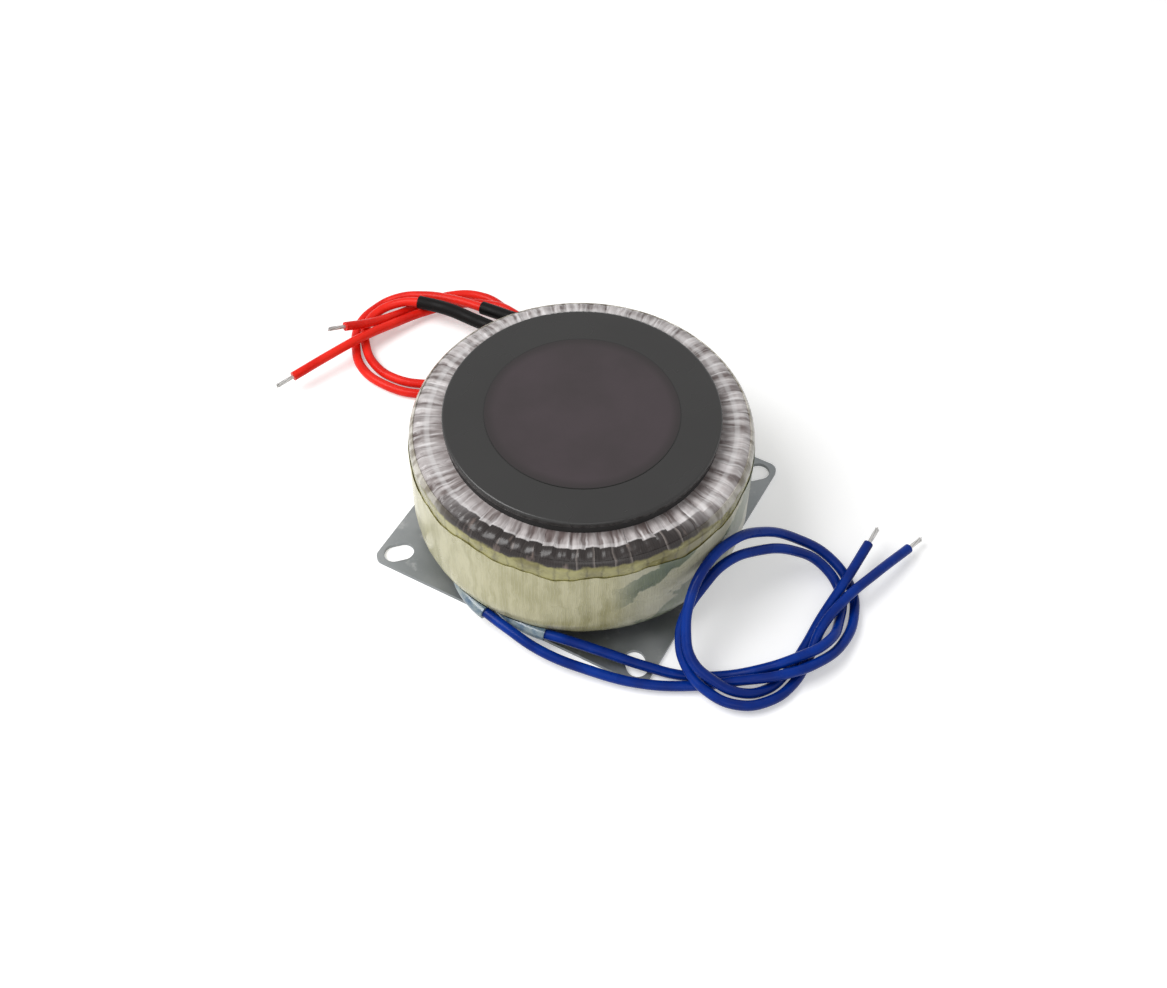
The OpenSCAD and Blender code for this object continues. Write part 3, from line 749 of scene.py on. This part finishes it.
def film_wrap():
    rows = film_outline()
    columns = 8 * turns

    def place(u, v):
        radius, height, out_r, out_z, share = rows[round(v * len(rows)) % len(rows)]
        stand = share * lap_height(360 * (u % 1))
        return around(radius + out_r * stand, height + out_z * stand, 360 * u)

    wrap = laid_grid(columns, len(rows), place)
    close_ring(wrap)
    shell = wrap.modifiers.new("wall", "SOLIDIFY")
    shell.thickness = 0.4 * MM
    shell.offset = -1
    apply_modifiers(wrap)
    smooth(wrap, 50)
    return finished(wrap, "film_wrap", finishes["wrap_film"])


def near(degrees, middle, width):
    return math.exp(-((degrees - middle) / width) ** 2)


def side_band():
    """The cream tape: it turns in under the body, hangs lower over the blue leads and has uneven edges."""
    foot_share = 0.4

    def wave(times, degrees, start=0):
        return math.sin(math.radians(times * degrees + start))

    def place(u, v):
        degrees = 360 * (u % 1)
        low = 40 + 2.8 * wave(5, degrees, 40) + 1.75 * wave(11, degrees) - 13 * near(degrees, 229, 17)
        low -= 5 * near(degrees, 252, 3.5) + 4 * near(degrees, 262, 2.5)
        low += 0.9 * wave(31, degrees, 20) + 0.6 * wave(53, degrees)
        high = film_top - shoulder - 2 * MM
        high += 0.7 * MM * (0.9 * wave(7, degrees) + 0.6 * wave(17, degrees, 50) - 0.8)
        high += 0.12 * MM * wave(41, degrees) + 0.09 * MM * wave(67, degrees, 30)
        thick = 0.2 + 0.03 * wave(9, degrees, 320 * v) + 0.025 * wave(23, degrees, 180 * v)
        thick += 0.02 * wave(turns, degrees, 60 * v)
        reach = foot + tape_build + thick * MM
        if v < foot_share:
            turn = math.radians(low + (90 - low) * v / foot_share)
            radius = film_radius - foot + reach * math.sin(turn)
            return around(radius, film_bottom + foot - reach * math.cos(turn), degrees)
        share = (v - foot_share) / (1 - foot_share)
        bottom = film_bottom + foot
        return around(film_radius - foot + reach, bottom + (high - bottom) * share, degrees)

    band = laid_grid(5 * turns, 30, place)
    close_ring(band)
    shell = band.modifiers.new("wall", "SOLIDIFY")
    shell.thickness = 0.1 * MM
    shell.offset = -1
    apply_modifiers(band)
    smooth(band, 60)
    return finished(band, "side_band", finishes["side_tape"])


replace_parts(film_wrap(), "outer_film")
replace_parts(side_band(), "side_tape")


# ---------------------------------------------------------------------------
# Leads, sleeves and bare ends
# ---------------------------------------------------------------------------

def strand_bundle(name, points, strands=7):
    """Tinned strands twisted together, spreading a little at their cut ends."""
    end = points[-1]
    way = (points[-1] - points[-2]).normalized()
    side = way.cross(Vector((0, 0, 1))).normalized()
    up = side.cross(way)
    wires = []
    for number in range(strands):
        reach = 0 if number == 0 else 0.36 * MM
        turn = math.radians(60 * number)
        knots = []
        for step in range(7):
            share = step / 6
            spread = reach * (1 + 0.25 * share ** 3)
            angle = turn + 1.6 * share
            offset = side * math.cos(angle) * spread + up * math.sin(angle) * spread
            trim = bare_length * (share if step < 6 else 1 - 0.03 * (number % 3))
            knots.append(end + way * trim + offset)
        wires.append(bezier_through(name, knots, strand_radius))
    for wire in wires:
        wire.data.bevel_resolution = 2
        wire.data.resolution_u = 3
        pick(wire)
        bpy.ops.object.convert(target="MESH")
    return join(wires)


def tube_over(name, points, radius, wall):
    """A hollow sleeve along the first points of a lead."""
    tube = bezier_through(name, points, radius)
    tube.data.use_fill_caps = False
    tube.data.bevel_resolution = 8
    pick(tube)
    bpy.ops.object.convert(target="MESH")
    tube = bpy.context.object
    edit(tube, lambda: bpy.ops.mesh.normals_make_consistent(inside=False))
    shell = tube.modifiers.new("wall", "SOLIDIFY")
    shell.thickness = wall
    shell.offset = -1
    apply_modifiers(tube)
    smooth(tube)
    return tube


def make_lead(name, points, radius, slot, sleeve=None):
    tip = name.replace("_lead_", "_tip_")
    lead = bezier_through(name + "_cord", points, radius)
    finished(lead, name + "_cord", finishes[slot])
    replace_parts(lead, name)
    strands = strand_bundle(tip + "_strands", points)
    smooth(strands)
    finished(strands, tip + "_strands", finishes["tinned"])
    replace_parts(strands, tip)
    if sleeve:
        tube = tube_over(sleeve + "_tube", points[:sleeve_points], sleeve_radius, sleeve_wall)
        finished(tube, sleeve + "_tube", finishes["sleeve_black"])
        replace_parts(tube, sleeve)
    tuple(points[0])
    route_length(points)


make_lead("blue_lead_a", blue_a_route, lead_radius, "blue_pvc")
make_lead("blue_lead_b", blue_b_route, lead_radius, "blue_pvc")
make_lead("red_lead_a", red_a_route, lead_radius, "red_pvc", "sleeve_a")
make_lead("red_lead_b", red_b_route, lead_radius, "red_pvc", "sleeve_b")


# ---------------------------------------------------------------------------
# Floor and surroundings
# ---------------------------------------------------------------------------

def seen_directly(tree):
    """One for what the camera sees, also in a mirror or through glass, and zero for light on the object."""
    path = tree.nodes.new("ShaderNodeLightPath")
    seen = math_node(tree, "MAXIMUM", path.outputs["Is Camera Ray"], path.outputs["Is Glossy Ray"])
    return math_node(tree, "MAXIMUM", seen, path.outputs["Is Transmission Ray"])


def white_floor():
    made = bpy.data.materials.new("white_floor")
    made.use_nodes = True
    tree = made.node_tree
    shader = tree.nodes["Principled BSDF"]
    shader.inputs["Base Color"].default_value = (0.9, 0.9, 0.9, 1)
    shader.inputs["Roughness"].default_value = 1
    shader.inputs["Specular IOR Level"].default_value = 0
    shader.inputs["Emission Color"].default_value = (1, 1, 1, 1)
    lift = math_node(tree, "MULTIPLY", seen_directly(tree), floor_lift)
    tree.links.new(lift, shader.inputs["Emission Strength"])
    return made


deselect()
bpy.ops.mesh.primitive_plane_add(size=6, location=(0, 0, -0.00002))
floor = bpy.context.object
floor.name = "floor"
floor.data.materials.append(white_floor())

world = bpy.data.worlds.new("studio")
bpy.context.scene.world = world
world.use_nodes = True
sky = world.node_tree.nodes["Background"]
sky.inputs["Color"].default_value = (1, 1, 1, 1)
seen = math_node(world.node_tree, "MULTIPLY", seen_directly(world.node_tree), 1 - sky_light)
world.node_tree.links.new(math_node(world.node_tree, "ADD", seen, sky_light), sky.inputs["Strength"])

bpy.context.scene.view_settings.view_transform = "Standard"
